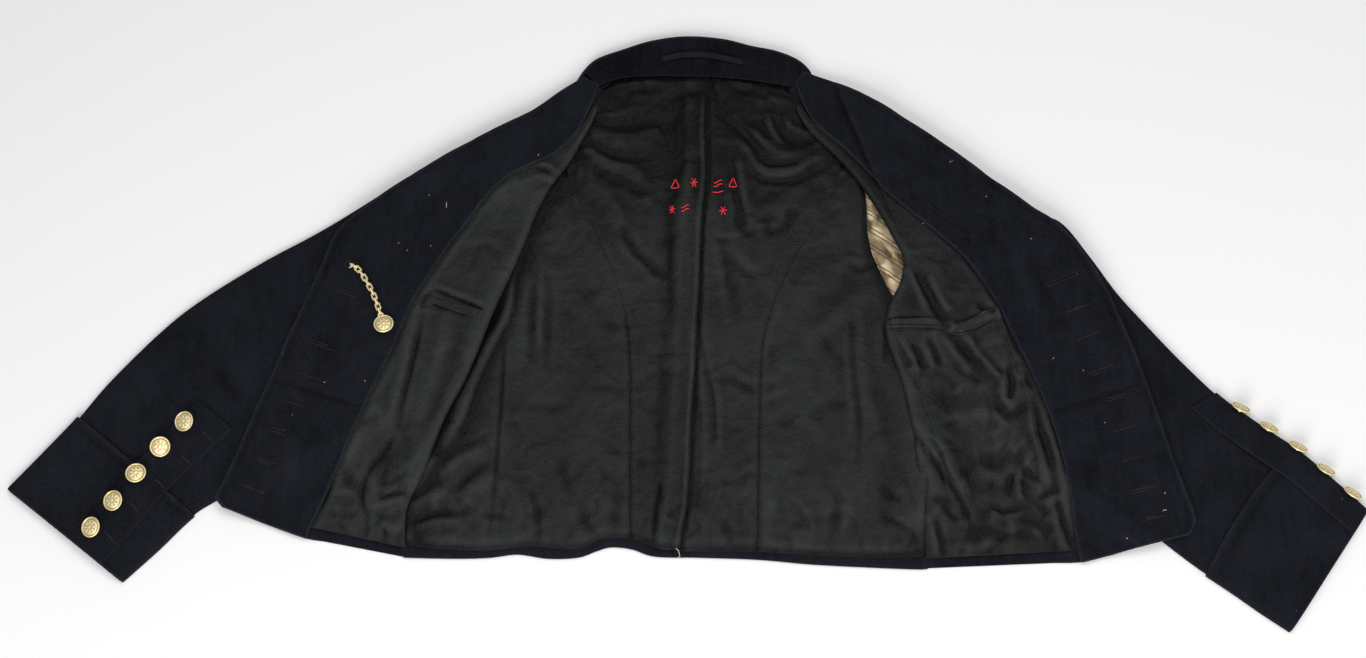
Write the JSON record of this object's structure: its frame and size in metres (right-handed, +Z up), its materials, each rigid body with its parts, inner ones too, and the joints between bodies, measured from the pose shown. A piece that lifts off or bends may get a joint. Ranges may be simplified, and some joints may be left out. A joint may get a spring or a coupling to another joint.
{
  "type": "parade tunic",
  "caption": "Dark wool dress tunic laid open on its back, fronts turned out over both sleeves to show facings, loose lining, button-and-chain closure and buttoned cuffs",
  "frame": {"origin": "the middle of the whole outline, on the floor that the tunic lies on", "axes": "+Z up from the floor, +X along the spread of the sleeves to the wearer's left, +Y from the hem towards the collar"},
  "size_m": [1.2892, 0.6222, 0.024],
  "materials": {
    "wool": "matt navy wool doeskin",
    "lining": "soft sheen black sateen",
    "sleeve_lining": "matt cream cotton with dark stripes",
    "tape": "matt black woven tape",
    "gilt": "polished gilt brass"
  },
  "bodies": {
    "tunic": {"back": "wool", "top_sleeve_left": "wool", "top_sleeve_right": "wool", "under_sleeve_left": "wool", "under_sleeve_right": "wool", "cuff_left": "wool", "cuff_right": "wool", "cuff_strip_left": "wool", "cuff_strip_right": "wool", "front_left": "wool", "front_right": "wool", "facing_left": "wool", "facing_right": "wool", "collar_stand": "wool", "collar_fall": "wool", "pocket_welt_right": "wool", "lining_back_left": "lining", "lining_back_right": "lining", "lining_side_left": "lining", "lining_side_right": "lining", "lining_front_left": "lining", "lining_front_right": "lining", "pocket_right": "lining", "pocket_band_right": "lining", "pocket_welt_left": "lining", "sleeve_lining_right": "sleeve_lining", "hanger_loop": "tape", "cuff_button_left_1": "gilt", "cuff_button_left_2": "gilt", "cuff_button_left_3": "gilt", "cuff_button_left_4": "gilt", "cuff_button_left_5": "gilt", "cuff_button_right_1": "gilt", "cuff_button_right_2": "gilt", "cuff_button_right_3": "gilt", "cuff_button_right_4": "gilt", "cuff_button_right_5": "gilt"},
    "chain": {"chain_eye": "gilt", "chain_link_01": "gilt", "chain_link_02": "gilt", "chain_link_03": "gilt", "chain_link_04": "gilt", "chain_link_05": "gilt", "chain_link_06": "gilt", "chain_link_07": "gilt", "chain_link_08": "gilt", "chain_link_09": "gilt", "chain_link_10": "gilt", "chain_link_11": "gilt", "chain_shackle": "gilt", "chain_button": "gilt"}
  },
  "joints": [
    {"name": "chain_swing", "type": "hinge", "parent": "tunic", "child": "chain", "pos_m": [-0.3319, 0.0526, 0.0145], "axis": [0, 0, 1], "range_deg": [-45, 45]}
  ]
}
